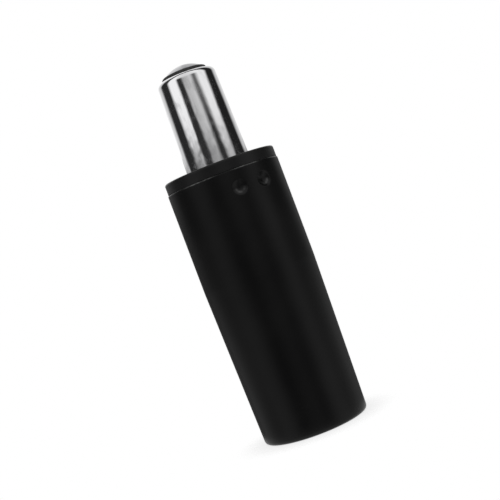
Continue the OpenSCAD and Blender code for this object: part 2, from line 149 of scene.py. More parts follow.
class Socket:
    # One output in a node tree. Sums on it add Math nodes, with numbers on either side.
    def __init__(self, bench, output):
        self.bench = bench
        self.output = output

    def maths(self, operation, *terms):
        return self.bench.add("ShaderNodeMath", {"operation": operation}, dict(enumerate(terms)))

    def pick(self, name):
        return Socket(self.bench, self.output.node.outputs[name])

    def toward(self, other, share):
        # Goes from this value to the other as share goes from 0 to 1
        return self + (other - self) * share

    def sway(self, amount):
        # A noise of 0 to 1, as a change of that amount about its middle
        return (self - 0.5) * amount

    def __add__(self, other):
        return self.maths("ADD", self, other)

    def __sub__(self, other):
        return self.maths("SUBTRACT", self, other)

    def __rsub__(self, other):
        return self.maths("SUBTRACT", other, self)

    def __mul__(self, other):
        return self.maths("MULTIPLY", self, other)

    __radd__ = __add__
    __rmul__ = __mul__


class Bench:
    # A node tree that is filled one node at a time
    def __init__(self, tree):
        self.tree = tree
        tree.nodes.clear()

    def add(self, kind, settings=None, sockets=None, out=0):
        node = self.tree.nodes.new(kind)
        for key, value in (settings or {}).items():
            setattr(node, key, value)
        for key, value in (sockets or {}).items():
            if isinstance(value, Socket):
                self.tree.links.new(value.output, node.inputs[key])
            else:
                node.inputs[key].default_value = value
        return Socket(self, node.outputs[out] if node.outputs else None)

    def place(self, stretch=(1, 1, 1)):
        # Object coordinates, stretched along the axes
        coords = self.add("ShaderNodeTexCoord", out="Object")
        return self.add("ShaderNodeMapping", None, {"Vector": coords, "Scale": stretch})

    def noise(self, size, detail=2, stretch=(1, 1, 1)):
        # Soft noise whose blotches are about size across
        sockets = {"Vector": self.place(stretch), "Scale": 1 / size, "Detail": detail}
        return self.add("ShaderNodeTexNoise", None, sockets, "Fac")

    def ramp(self, value, start, end, low=0, high=1):
        # Goes smoothly from low to high while value goes from start to end
        sockets = {"Value": value, "From Min": start, "From Max": end, "To Min": low, "To Max": high}
        return self.add("ShaderNodeMapRange", {"interpolation_type": "SMOOTHSTEP"}, sockets)

    def blend(self, factor, a, b):
        # A colour that goes from a to b
        a, b = (colour if isinstance(colour, Socket) else (*colour, 1) for colour in (a, b))
        sockets = {0: factor, 6: a, 7: b}
        return self.add("ShaderNodeMix", {"data_type": "RGBA"}, sockets, 2)

    def bump(self, height, depth):
        return self.add("ShaderNodeBump", None, {"Height": height, "Distance": depth, "Strength": 1})


def newFinish(name):
    finish = bpy.data.materials.new(name)
    finish.use_nodes = True
    return finish, Bench(finish.node_tree)


def surface(bench, **sockets):
    # Principled surface whose sockets are named with _ for a space
    named = {key.replace("_", " "): value for key, value in sockets.items()}
    shader = bench.add("ShaderNodeBsdfPrincipled", None, named)
    bench.add("ShaderNodeOutputMaterial", None, {"Surface": shader})


# Finishes. In the dictionaries a length is the size of a mark or a depth, a pair ending in From is the
# stretch of a noise over which a mark comes in, and Dull and Rough are what a mark adds.

# The third paint colour is the light grey of paint rubbed thin and of painted highlights.
paintLook = dict(
    dark=(0.0021, 0.0021, 0.0022), dusty=(0.0032, 0.0032, 0.0032), bareAndGlint=(0.12, 0.12, 0.12),
    specular=0.22, roughness=0.32, cloud=26 * mm, cloudFrom=(0.35, 0.7), cloudRough=0.12,
    chip=1.8 * mm, chipFrom=(0.35, 0.62), chipLeast=0.3, grain=0.3 * mm, grainRough=0.06,
    peel=1.3 * mm, peelShare=0.7, depth=0.012 * mm,
)


def blackPaint():
    # Satin powder coat: a fine orange peel, a faint cloudiness from handling, and light grey on the top rim
    # and in the dents, which is partly paint rubbed thin and partly painted highlight
    look = paintLook
    finish, bench = newFinish("blackPaint")
    cloud = bench.noise(look["cloud"], 4)
    # The tube's points say where paint is rubbed thin and where highlight is painted; small chips break it
    # up.
    wearAndGlint = bench.add("ShaderNodeAttribute", {"attribute_name": "wearAndGlint"}, out="Fac")
    wearAndGlint = wearAndGlint * bench.ramp(bench.noise(look["chip"]), *look["chipFrom"], look["chipLeast"], 1)
    skin = bench.blend(bench.ramp(cloud, *look["cloudFrom"]), look["dark"], look["dusty"])
    peel = bench.noise(look["peel"])
    grain = bench.noise(look["grain"], 1)
    surface(
        bench,
        Base_Color=bench.blend(wearAndGlint, skin, look["bareAndGlint"]),
        Roughness=look["roughness"] + cloud.sway(look["cloudRough"]) + grain.sway(look["grainRough"]),
        Specular_IOR_Level=look["specular"],
        Normal=bench.bump(peel * look["peelShare"] + grain * (1 - look["peelShare"]), look["depth"]),
    )
    return finish


plasticLook = dict(
    dark=(0.0050, 0.0050, 0.0051), light=(0.0072, 0.0072, 0.0073), specular=0.25, roughness=0.36,
    flow=7 * mm, flowStretch=(1, 1, 0.15), flowRough=0.12, grain=0.35 * mm, grainRough=0.08,
    depth=0.006 * mm,
)


def blackPlastic():
    # Moulded plastic: a fine grain, and flow marks that run up the piece
    look = plasticLook
    finish, bench = newFinish("blackPlastic")
    flow = bench.noise(look["flow"], 3, look["flowStretch"])
    grain = bench.noise(look["grain"])
    surface(
        bench,
        Base_Color=bench.blend(flow, look["dark"], look["light"]),
        Roughness=look["roughness"] + flow.sway(look["flowRough"]) + grain.sway(look["grainRough"]),
        Specular_IOR_Level=look["specular"],
        Normal=bench.bump(grain, look["depth"]),
    )
    return finish


chromeLook = dict(
    bright=(0.84, 0.84, 0.85), dull=(0.66, 0.66, 0.67), roughness=0.06,
    hair=0.28 * mm, hairStretch=(1, 1, 0.012), hairDullFrom=(0.5, 0.8), hairDull=0.18,
    hairRoughFrom=(0.45, 0.8), hairRough=0.05, hairShare=0.012,
    haze=4.5 * mm, hazeStretch=(1, 1, 0.6), hazeFrom=(0.5, 0.72), hazeDull=0.15, hazeRough=0.12,
    scuff=3.2 * mm, scuffStretch=(1, 1, 0.5), scuffFrom=(0.42, 0.66), scuffDull=0.5, scuffRough=0.12,
    scuffReach=11 * mm, waver=5 * mm, waverStretch=(1, 1, 0.35), waverReach=36 * mm, waverLeast=0.4,
    depth=0.12 * mm,
)


def brightChrome(collarTop):
    # Chrome over a ground tube: hairlines along it, hazy patches, and a waver and scuffs that are
    # strongest where the collar stands at rest
    look = chromeLook
    finish, bench = newFinish("brightChrome")
    hair = bench.noise(look["hair"], 3, look["hairStretch"])
    waver = bench.noise(look["waver"], 2, look["waverStretch"])
    haze = bench.ramp(bench.noise(look["haze"], 3, look["hazeStretch"]), *look["hazeFrom"])
    scuff = bench.ramp(bench.noise(look["scuff"], 4, look["scuffStretch"]), *look["scuffFrom"])
    height = bench.add("ShaderNodeSeparateXYZ", None, {0: bench.place()}).pick("Z")
    fromCollar = height.maths("ABSOLUTE", height - collarTop)
    scuff = bench.ramp(fromCollar, look["scuffReach"], 0) * scuff
    swell = bench.ramp(fromCollar, look["waverReach"], 0, look["waverLeast"], 1)
    markAmount = scuff * look["scuffDull"] + bench.ramp(hair, *look["hairDullFrom"]) * look["hairDull"]
    rough = scuff * look["scuffRough"] + bench.ramp(hair, *look["hairRoughFrom"]) * look["hairRough"]
    surface(
        bench,
        Base_Color=bench.blend(markAmount + haze * look["hazeDull"], look["bright"], look["dull"]),
        Metallic=1.0,
        Roughness=rough + haze * look["hazeRough"] + look["roughness"],
        Normal=bench.bump(waver * swell + hair * look["hairShare"], look["depth"]),
    )
    return finish


latheLook = dict(
    ringWander=1.5, ringRough=0.04, patch=5 * mm, patchFrom=(0.35, 0.75), patchRough=0.12,
)


def turnedMetal(name, colour, shade, roughness, ringPitch, ringDepth):
    # Lathe-turned metal: fine rings about the axis, and patches that are a little duller
    look = latheLook
    finish, bench = newFinish(name)
    sockets = {
        "Vector": bench.place(), "Scale": 1 / ringPitch, "Distortion": look["ringWander"], "Detail": 2,
    }
    rings = bench.add("ShaderNodeTexWave", {"wave_type": "RINGS", "rings_direction": "Z"}, sockets, "Fac")
    patch = bench.noise(look["patch"], 3)
    surface(
        bench,
        Base_Color=bench.blend(bench.ramp(patch, *look["patchFrom"]), colour, shade),
        Metallic=1.0,
        Roughness=roughness + patch.sway(look["patchRough"]) + rings * look["ringRough"],
        Normal=bench.bump(rings, ringDepth),
    )
    return finish


zincLook = dict(
    light=(0.60, 0.61, 0.63), dark=(0.46, 0.47, 0.49), roughness=0.3, crystal=1.4 * mm, crystalRough=0.08,
    skin=9 * mm, skinFrom=(0.3, 0.7), skinShare=0.5, skinRough=0.2, grain=0.5 * mm, depth=0.004 * mm,
)


def zincSteel():
    # Zinc plated pressed steel: small crystals of slightly different greys, and a dull skin
    look = zincLook
    finish, bench = newFinish("zincSteel")
    sockets = {"Vector": bench.place(), "Scale": 1 / look["crystal"]}
    crystals = bench.add("ShaderNodeTexVoronoi", {"feature": "F1"}, sockets, "Color")
    tone = bench.add("ShaderNodeSeparateColor", None, {0: crystals})
    skin = bench.noise(look["skin"], 4)
    shade = tone.toward(bench.ramp(skin, *look["skinFrom"]), look["skinShare"])
    surface(
        bench,
        Base_Color=bench.blend(shade, look["light"], look["dark"]),
        Metallic=1.0,
        Roughness=look["roughness"] + tone * look["crystalRough"] + skin.sway(look["skinRough"]),
        Normal=bench.bump(bench.noise(look["grain"]), look["depth"]),
    )
    return finish


rubberLook = dict(
    dark=(0.022, 0.022, 0.022), dusty=(0.036, 0.036, 0.036), specular=0.3, roughness=0.72,
    bloom=2.5 * mm, bloomFrom=(0.4, 0.75), bloomRough=0.2, grain=0.4 * mm, depth=0.008 * mm,
)


def mattRubber():
    # Moulded rubber with a bloom of fine dust
    look = rubberLook
    finish, bench = newFinish("mattRubber")
    bloom = bench.noise(look["bloom"], 4)
    surface(
        bench,
        Base_Color=bench.blend(bench.ramp(bloom, *look["bloomFrom"]), look["dark"], look["dusty"]),
        Roughness=look["roughness"] + bloom.sway(look["bloomRough"]),
        Specular_IOR_Level=look["specular"],
        Normal=bench.bump(bench.noise(look["grain"]), look["depth"]),
    )
    return finish


buttonLook = dict(
    colour=(0.44, 0.44, 0.45), shade=(0.38, 0.38, 0.39), roughness=0.18,
    ringPitch=0.35 * mm, ringDepth=0.001 * mm,
)
steelLook = dict(
    colour=(0.68, 0.68, 0.70), shade=(0.58, 0.58, 0.60), roughness=0.16,
    ringPitch=0.3 * mm, ringDepth=0.002 * mm,
)
aluminiumLook = dict(
    colour=(0.74, 0.75, 0.77), shade=(0.62, 0.63, 0.65), roughness=0.26,
    ringPitch=0.4 * mm, ringDepth=0.004 * mm,
)
brassLook = dict(
    colour=(0.72, 0.56, 0.28), shade=(0.56, 0.42, 0.20), roughness=0.24,
    ringPitch=0.4 * mm, ringDepth=0.003 * mm,
)
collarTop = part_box("guide_sleeve")[1].z
finishes = dict(
    black_paint=blackPaint(),
    black_plastic=blackPlastic(),
    chrome=brightChrome(collarTop),
    button_steel=turnedMetal("buttonSteel", **buttonLook),
    polished_steel=turnedMetal("polishedSteel", **steelLook),
    aluminium=turnedMetal("turnedAluminium", **aluminiumLook),
    brass=turnedMetal("turnedBrass", **brassLook),
    zinc_steel=zincSteel(),
    rubber=mattRubber(),
)
for name, slot in slots.items():
    node = frame["nodes"][name]
    if not node.material_slots:
        node.data.materials.append(None)
    for materialSlot in node.material_slots:
        materialSlot.material = finishes[slot]
print("finishes made:", len(finishes))


# Column tube. Turns, bearings and the dents' pitch are in degrees.

tubeShape = dict(
    wall=2 * mm, taperTop=70 * mm, taperBend=25 * mm, footEdge=1.5 * mm, topEdge=0.4 * mm,
    boreEdge=0.25 * mm, lipThick=2 * mm, lipReach=2.5 * mm, lipEdge=0.4 * mm, seatEdge=0.3 * mm,
    rowStep=6 * mm,
)
dentShape = dict(
    mouth=6.4 * mm, depth=1.2 * mm, drop=7.8 * mm, pitch=27, rim=0.28 * mm, bearings=(-90, 90),
    margin=10.5, fineTurn=0.6, coarseTurn=2, rowReach=6 * mm, rowStep=0.28 * mm,
)


def fromDent(angles, rows, r, dentZ):
    # How far each point is from the nearest dent's middle: round the tube, away from the other dent of
    # its pair, and up the tube
    outward = np.tile([-1, 1], len(dentShape["bearings"]))
    bearings = np.repeat(dentShape["bearings"], 2) + outward * dentShape["pitch"] / 2
    turn = angles[:, None] - np.radians(bearings)
    turn = (turn + math.pi) % (2 * math.pi) - math.pi
    nearest = np.abs(turn).argmin(axis=1)[:, None]
    aside = np.take_along_axis(turn * outward, nearest, axis=1)[:, 0]
    return aside * r, rows[:, 1:2] - dentZ


def tubeAngles():
    # Fine steps over each pair of dents, and coarse ones on to the next pair
    bearings = np.array(dentShape["bearings"])
    reach = dentShape["pitch"] / 2 + dentShape["margin"]
    fine = np.arange(-reach, reach, dentShape["fineTurn"])
    coarse = np.arange(reach, 360 / len(bearings) - reach, dentShape["coarseTurn"])
    return np.radians(np.add.outer(bearings, np.concatenate([fine, coarse])).ravel())


def dentDepth(angles, rows, r, dentZ, wall=0.0):
    # A ball-ended punch pressed in by depth: the ball's cap, met by the wall in a smooth lip
    aside, above = fromDent(angles, rows, r, dentZ)
    away = aside**2 + above**2
    depth, rim = dentShape["depth"], dentShape["rim"]
    ball = ((dentShape["mouth"] / 2)**2 + depth**2) / (2 * depth) + wall
    cap = depth - ball + np.sqrt(np.maximum(ball**2 - away, 0))
    share = np.clip(0.5 + cap / (2 * rim), 0, 1)
    return cap * share + rim * share * (1 - share)


# Paint rubbed thin and painted highlights on the tube. Waves are (count, bearing, height). A dent's ring, low
# and slant are in shares of its radius.
wearAndGlintShape = dict(
    rim=0.5 * mm, level=0.45, waves=((7, -141, 0.45), (3, -141, 0.1), (2, -25, 0.12)),
    dent=0.5, dentRing=(0.4, 0.6, 0.64, 0.86), dentLow=(-0.15, 0.3), dentLean=45,
    dentSlant=(0.2, 0.7), dentFaint=0.4,
)


def fade(value, start, end):
    # Goes smoothly from 0 to 1 while value goes from start to end
    share = np.clip((value - start) / (end - start), 0, 1)
    return share**2 * (3 - 2 * share)


def tubeWearAndGlint(angles, rows, r, h, dentZ):
    # Light grey goes on the top rim, by a level plus waves round it, and on the lower edge of each dent
    # in a crescent that is strongest where it leans outwards. It is partly paint rubbed thin and partly
    # painted highlight, where the rim and the dents' lower walls catch the light.
    count, bearing, height = np.array(wearAndGlintShape["waves"]).T[..., None]
    # A level of rubbed paint, with the painted highlight made brighter or dimmer by bearing round the rim
    markAmount = wearAndGlintShape["level"] + (height * np.cos(count * (angles - np.radians(bearing)))).sum(axis=0)
    rim = fade(rows[:, 1:2], h - wearAndGlintShape["rim"], h - wearAndGlintShape["rim"] / 2) * markAmount
    radius = dentShape["mouth"] / 2
    aside, above = (distance / radius for distance in fromDent(angles, rows, r, dentZ))
    away = np.hypot(aside, above)
    innerFrom, innerTo, outerFrom, outerTo = wearAndGlintShape["dentRing"]
    # The crescent is painted highlight on each dent's lower wall, with some rubbed paint
    crescent = fade(away, innerFrom, innerTo) * fade(away, outerTo, outerFrom)
    crescent = crescent * fade(-above, *wearAndGlintShape["dentLow"])
    lean = math.radians(wearAndGlintShape["dentLean"])
    slant = aside * math.sin(lean) - above * math.cos(lean)
    faint = wearAndGlintShape["dentFaint"]
    crescent = crescent * (faint + (1 - faint) * fade(slant, *wearAndGlintShape["dentSlant"]))
    outer = rows[:, :1] > r - tubeShape["wall"] / 2
    return np.maximum(rim, crescent * wearAndGlintShape["dent"]) * outer


def makeTube():
    # The profile of the whole wall is turned, then both its faces are pushed in at the dents
    shape = tubeShape
    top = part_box("outer_tube")[1]
    r, h, wall = top.x, top.z, shape["wall"]
    bore = r - wall
    taperTop, taperBend = shape["taperTop"], shape["taperBend"]
    lipTop, lipEdge = shape["lipThick"], shape["lipEdge"]
    footR = r - taperTop * taper
    seatR = footR + lipTop * taper - wall
    lipR = seatR - shape["lipReach"]
    corners = [
        (lipR, 0, lipEdge), (footR, 0, shape["footEdge"]), (r, taperTop, taperBend),
        (r, h, shape["topEdge"]), (bore, h, shape["boreEdge"]), (bore, taperTop, taperBend),
        (seatR, lipTop, shape["seatEdge"]), (lipR, lipTop, lipEdge),
    ]
    dentZ = h - dentShape["drop"]
    reach = dentShape["rowReach"]
    fine = np.arange(-reach, reach, dentShape["rowStep"]) + dentZ
    coarse = np.arange(shape["rowStep"], dentZ - 2 * reach, shape["rowStep"])
    rows = rowsAtHeights(filletPath(corners), np.concatenate([coarse, fine]))
    angles = tubeAngles()
    points = revolve(rows, angles)
    outer = rows[:, :1] > r - wall / 2
    depth = np.where(outer, dentDepth(angles, rows, r, dentZ), dentDepth(angles, rows, bore, dentZ, wall))
    points[..., :2] *= (1 - depth / rows[:, :1])[..., None]
    tube = gridPiece("columnTube", points)
    # Rubbed paint and painted highlights, kept on the points for the paint's colour
    wearAndGlint = tubeWearAndGlint(angles, rows, r, h, dentZ)
    tube.data.attributes.new("wearAndGlint", "FLOAT", "POINT").data.foreach_set("value", wearAndGlint.ravel())
    fit(tube, "column", "outer_tube")


makeTube()


# Guide sleeve

sleeveShape = dict(
    bore=14.06 * mm, wall=3 * mm, footRing=6 * mm, ringBottom=101 * mm, ribs=12, rib=2 * mm,
    chamfer=0.8 * mm, gap=0.05 * mm, collarEdge=0.8 * mm, smallEdge=0.25 * mm, footEdge=0.4 * mm,
    mouthEdge=0.2 * mm, seatEdge=0.15 * mm, ribColumns=4, windowColumns=20, windowTurn=0.001,
    windowStep=0.02 * mm, rowReach=4.8 * mm, rowStep=0.4 * mm,
)


def makeSleeve():
    # The profile is turned, then the windows between the ribs are pushed in to the wall round the
    # bore, and the ring above them is pushed in behind each dent
    shape = sleeveShape
    low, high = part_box("guide_sleeve")
    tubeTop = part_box("outer_tube")[1]
    bodyR = tubeTop.x - tubeShape["wall"] - shape["gap"]
    bore, chamfer, smallEdge = shape["bore"], shape["chamfer"], shape["smallEdge"]
    corners = [
        (bore + chamfer, low.z, shape["mouthEdge"]), (bodyR, low.z, shape["footEdge"]),
        (bodyR, tubeTop.z, shape["seatEdge"]), (high.x, tubeTop.z, smallEdge),
        (high.x, high.z, shape["collarEdge"]), (bore + chamfer, high.z, smallEdge),
        (bore, high.z - chamfer, smallEdge), (bore, low.z + chamfer, smallEdge),
    ]
    windowLow = low.z + shape["footRing"]
    windowHigh, step = shape["ringBottom"], shape["windowStep"]
    dentZ = tubeTop.z - dentShape["drop"]
    reach, rowStep = shape["rowReach"], shape["rowStep"]
    behindDent = np.arange(-reach, reach + rowStep / 2, rowStep) + dentZ
    ends = [windowLow - step, windowLow, windowHigh, windowHigh + step]
    rows = rowsAtHeights(filletPath(corners), np.concatenate([ends, behindDent]))
    half = math.asin(shape["rib"] / 2 / bodyR)
    pitch = 2 * math.pi / shape["ribs"]
    windowFrom = half + shape["windowTurn"]
    overRib = np.linspace(-half, half, shape["ribColumns"])
    overWindow = np.linspace(windowFrom, pitch - windowFrom, shape["windowColumns"])
    angles = np.add.outer(np.arange(shape["ribs"]) * pitch, np.concatenate([overRib, overWindow])).ravel()
    inWindow = np.tile(np.repeat([False, True], [len(overRib), len(overWindow)]), shape["ribs"])
    points = revolve(rows, angles)
    outer = rows[:, 0] > (bore + bodyR) / 2
    between = outer & (rows[:, 1] > windowLow - step / 2) & (rows[:, 1] < windowHigh + step / 2)
    depth = dentDepth(angles, rows, bodyR, dentZ, tubeShape["wall"] + shape["gap"])
    push = np.where(outer[:, None], 1 - depth / rows[:, :1], 1)
    push = np.where(between[:, None] & inWindow, (bore + shape["wall"]) / rows[:, :1], push)
    points[..., :2] *= push[..., None]
    fit(gridPiece("guideSleeve", points), "column", "guide_sleeve")


makeSleeve()


# Spindle tube

spindleShape = dict(
    wall=2 * mm, shoulder=2.6 * mm, land=0.2 * mm, taperBend=20 * mm, lipEdge=0.3 * mm,
    lipUnderEdge=0.2 * mm, boreEdge=0.3 * mm, footEdge=1.5 * mm, footOpening=8.5 * mm,
    openingEdge=0.4 * mm, columns=256, arcSteps=15,
)


def makeSpindle():
    # The profile of the whole wall, turned: straight up to the collar's top, then tapered to the lip
    shape = spindleShape
    low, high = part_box("spindle_tube")
    r, wall, opening = high.x, shape["wall"], shape["footOpening"]
    topR = r - (high.z - collarTop) * taper
    lipZ = high.z - wall
    shoulderR = r - (high.z - shape["shoulder"] - collarTop) * taper - shape["shoulder"]
    lipR = shoulderR - shape["land"]
    taperBend, boreEdge, openingEdge = shape["taperBend"], shape["boreEdge"], shape["openingEdge"]
    corners = [
        (opening, low.z, openingEdge), (r, low.z, shape["footEdge"]), (r, collarTop, taperBend),
        (topR, high.z, shape["shoulder"]), (lipR, high.z, shape["lipEdge"]),
        (lipR, lipZ, shape["lipUnderEdge"]), (topR + wall * taper - wall, lipZ, boreEdge),
        (r - wall, collarTop, taperBend), (r - wall, low.z + wall, boreEdge),
        (opening, low.z + wall, openingEdge),
    ]
    rows = filletPath(corners, arcSteps=shape["arcSteps"])
    turnPiece("spindleTube", rows, shape["columns"], "spindle", "spindle_tube")
    return lipR


lipR = makeSpindle()


# Release button and its band

buttonShape = dict(
    gap=0.15 * mm, flange=1 * mm, flangeReach=0.45 * mm, wall=1.5 * mm, pin=2.025 * mm, hollowRise=1 / 3,
    pinEdge=0.2 * mm, footEdge=0.3 * mm, hollowEdge=0.6 * mm, flangeEdge=0.2 * mm, neckEdge=0.1 * mm,
    crownEdge=0.15 * mm, domeShare=0.95, domeRows=30, columns=160,
)
bandShape = dict(
    thick=1.6 * mm, edge=1.4 * mm, footEdge=0.2 * mm, boreEdge=0.1 * mm, fit=0.05 * mm, columns=160,
)
bandR = lipR - buttonShape["gap"]
bandFoot, bandTop = (corner.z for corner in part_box("button_band"))
crownR = bandR - bandShape["thick"]


def makeButton():
    # The dome is a ball's cap. Its rows run from near its edge to the pole at equal steps of angle.
    shape = buttonShape
    low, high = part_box("release_button")
    domeH = high.z - bandTop
    ball = (crownR**2 + domeH**2) / (2 * domeH)
    angles = np.linspace(shape["domeShare"] * math.asin(crownR / ball), 0, shape["domeRows"])
    dome = np.stack([ball * np.sin(angles), high.z - ball + ball * np.cos(angles)], axis=1)
    flangeTop = low.z + shape["flange"]
    flangeR = bandR + shape["flangeReach"]
    hollowTop = bandTop + domeH * shape["hollowRise"] - shape["wall"]
    hollowR = crownR - shape["wall"]
    pin, pinEdge = shape["pin"], shape["pinEdge"]
    bossR = pin + shape["wall"]
    footEdge, hollowEdge, flangeEdge = shape["footEdge"], shape["hollowEdge"], shape["flangeEdge"]
    corners = [
        (0, bandTop, 0), (pin, bandTop, pinEdge), (pin, low.z, pinEdge), (bossR, low.z, footEdge),
        (bossR, hollowTop, hollowEdge), (hollowR, hollowTop, hollowEdge), (hollowR, low.z, footEdge),
        (flangeR, low.z, flangeEdge), (flangeR, flangeTop, flangeEdge),
        (crownR, flangeTop, shape["neckEdge"]), (crownR, bandTop, shape["crownEdge"]), (*dome[0], 0),
    ]
    rows = np.concatenate([filletPath(corners, closed=False)[:-1], dome])
    turnPiece("releaseButton", rows, shape["columns"], "release", "release_button", closed=False)


makeButton()


def makeBand():
    # A ring turned from a square with one round corner, which is the top edge that shows
    shape = bandShape
    bore, boreEdge = crownR + shape["fit"], shape["boreEdge"]
    corners = [
        (bore, bandFoot, boreEdge), (bandR, bandFoot, shape["footEdge"]),
        (bandR, bandTop, shape["edge"]), (bore, bandTop, boreEdge),
    ]
    turnPiece("buttonBand", filletPath(corners), shape["columns"], "release", "button_band")


makeBand()


# Pieces that show in the foot

plateShape = dict(
    thick=3 * mm, dish=14 * mm, bend=1 * mm, hole=4.15 * mm, holeEdge=0.2 * mm, footEdge=0.5 * mm,
    rimEdge=0.4 * mm, columns=192,
)


def makePlate():
    # A sheet's profile turned: a low rim outside, bent up to a flat round the hole
    shape = plateShape
    low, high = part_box("base_plate")
    thick, dish, hole, bend = shape["thick"], shape["dish"], shape["hole"], shape["bend"]
    holeEdge, rimEdge = shape["holeEdge"], shape["rimEdge"]
    rimTop = low.z + thick
    corners = [
        (hole, high.z - thick, holeEdge), (dish, high.z - thick, bend), (dish, low.z, shape["footEdge"]),
        (high.x, low.z, rimEdge), (high.x, rimTop, rimEdge), (dish + thick, rimTop, bend),
        (dish + thick, high.z, bend), (hole, high.z, holeEdge),
    ]
    turnPiece("basePlate", filletPath(corners), shape["columns"], "column", "base_plate")


makePlate()

rodShape = dict(
    neck=4 * mm, groove=3 * mm, tipChamfer=0.5 * mm, rivet=3 * mm, rivetHead=4.2 * mm, gap=0.05 * mm,
    edge=0.15 * mm, columns=96,
)


def makeRod():
    # A profile turned from pole to pole: the tip with the clip's groove, the shank, and the riveted head
    shape = rodShape
    low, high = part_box("piston_rod")
    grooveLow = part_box("retaining_clip")[0].z - shape["gap"]
    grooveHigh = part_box("clip_washer")[0].z
    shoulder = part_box("bump_stop")[0].z
    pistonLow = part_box("piston")[0].z
    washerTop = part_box("piston_washer")[1].z
    neck, groove, rivet = shape["neck"], shape["groove"], shape["rivet"]
    chamfer, edge = shape["tipChamfer"], shape["edge"]
    corners = [
        (0, low.z, 0), (neck - chamfer, low.z, edge), (neck, low.z + chamfer, edge),
        (neck, grooveLow, edge), (groove, grooveLow, edge), (groove, grooveHigh, edge),
        (neck, grooveHigh, edge), (neck, shoulder, edge), (high.x, shoulder, edge),
        (high.x, pistonLow, edge), (rivet, pistonLow, edge), (rivet, washerTop, edge),
        (shape["rivetHead"], washerTop, edge), (rivet, high.z, edge), (0, high.z, 0),
    ]
    rows = filletPath(corners, closed=False)
    turnPiece("pistonRod", rows, shape["columns"], "rod", "piston_rod", closed=False)


makeRod()

washerShape = dict(
    holeEdge=0.25 * mm, rimEdge=0.45 * mm, rimTopEdge=0.25 * mm, holeTopEdge=0.15 * mm, columns=128,
)


def makeWasher():
    # A flat ring, turned, with its lower rim the rounder one
    shape = washerShape
    low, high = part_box("clip_washer")
    hole = rodShape["neck"] + rodShape["gap"]
    corners = [
        (hole, low.z, shape["holeEdge"]), (high.x, low.z, shape["rimEdge"]),
        (high.x, high.z, shape["rimTopEdge"]), (hole, high.z, shape["holeTopEdge"]),
    ]
    turnPiece("clipWasher", filletPath(corners), shape["columns"], "rod", "clip_washer")


makeWasher()

clipShape = dict(edge=0.3 * mm, stripWidth=1 * mm, arcSteps=7, legSteps=14, bendSteps=64)


def makeClip():
    # A horseshoe. Its inner line runs in along one leg, round the rod and out along the other, and
    # its outer line swings round beside it. A rounded strip is carried along between the two.
    shape = clipShape
    low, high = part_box("retaining_clip")
    outerR = -low.x
    mouth = rodShape["groove"] + rodShape["gap"]
    legX = (mouth + outerR) / 2
    legAngle = math.acos(legX / outerR)
    leg = np.linspace(legX, 0, shape["legSteps"])
    bend = np.linspace(-math.pi / 2, -3 * math.pi / 2, shape["bendSteps"])[1:-1]
    innerX = np.concatenate([leg, mouth * np.cos(bend), leg[::-1]])
    innerY = np.concatenate([0 * leg - mouth, mouth * np.sin(bend), 0 * leg + mouth])
    sweep = np.linspace(-legAngle, -math.pi / 2, shape["legSteps"])
    around = np.concatenate([sweep, bend, -2 * math.pi - sweep[::-1]])
    inner = np.stack([innerX, innerY], axis=1)
    outer = outerR * np.stack([np.cos(around), np.sin(around)], axis=1)
    width = np.linalg.norm(outer - inner, axis=1)[:, None]
    strip, edge = shape["stripWidth"], shape["edge"]
    square = [(0, low.z, edge), (strip, low.z, edge), (strip, high.z, edge), (0, high.z, edge)]
    section = filletPath(square, arcSteps=shape["arcSteps"])
    fromEdge = np.minimum(section[:, 0], strip - section[:, 0])
    across = np.where(section[:, 0] < strip / 2, fromEdge / width, 1 - fromEdge / width)
    flat = inner[:, None] + (outer - inner)[:, None] * across[..., None]
    height = np.broadcast_to(section[:, 1], flat.shape[:2])
    points = np.concatenate([flat, height[..., None]], axis=-1)
    ends = np.broadcast_to(points[[0, -1]].mean(axis=1, keepdims=True), (2, len(section), 3))
    points = np.concatenate([ends[:1], points, ends[1:]])
    fit(gridPiece("retainingClip", points, closed=False), "rod", "retaining_clip")


makeClip()


# Studio

viewShape = dict(
    azimuth=-25.6, distance=459 * mm, height=86.3 * mm, aimHeight=80.65 * mm, aimSide=-0.15 * mm,
    roll=20.68, lens=76.87, sensor=36.0, nearest=10 * mm,
)
bearing = math.radians(viewShape["azimuth"])
toCamera = np.array([math.sin(bearing), -math.cos(bearing), 0])
toRight = np.array([math.cos(bearing), math.sin(bearing), 0])


def makeCamera():
    # The camera looks almost level at the column and is rolled, so the column leans in the picture
    place = toCamera * viewShape["distance"] + np.array([0, 0, viewShape["height"]])
    aim = toRight * viewShape["aimSide"] + np.array([0, 0, viewShape["aimHeight"]])
    back = (place - aim) / np.linalg.norm(place - aim)
    right = np.cross([0, 0, 1], back)
    right /= np.linalg.norm(right)
    up = np.cross(back, right)
    roll = math.radians(viewShape["roll"])
    across = right * math.cos(roll) - up * math.sin(roll)
    upright = right * math.sin(roll) + up * math.cos(roll)
    turn = Matrix(np.stack([across, upright, back], axis=1).tolist()).to_4x4()
    lens = bpy.data.cameras.new("camera")
    lens.lens = viewShape["lens"]
    lens.sensor_width = viewShape["sensor"]
    lens.clip_start = viewShape["nearest"]
    camera = bpy.data.objects.new("camera", lens)
    camera.matrix_world = Matrix.Translation(place.tolist()) @ turn
    bpy.context.scene.collection.objects.link(camera)
    bpy.context.scene.camera = camera


makeCamera()

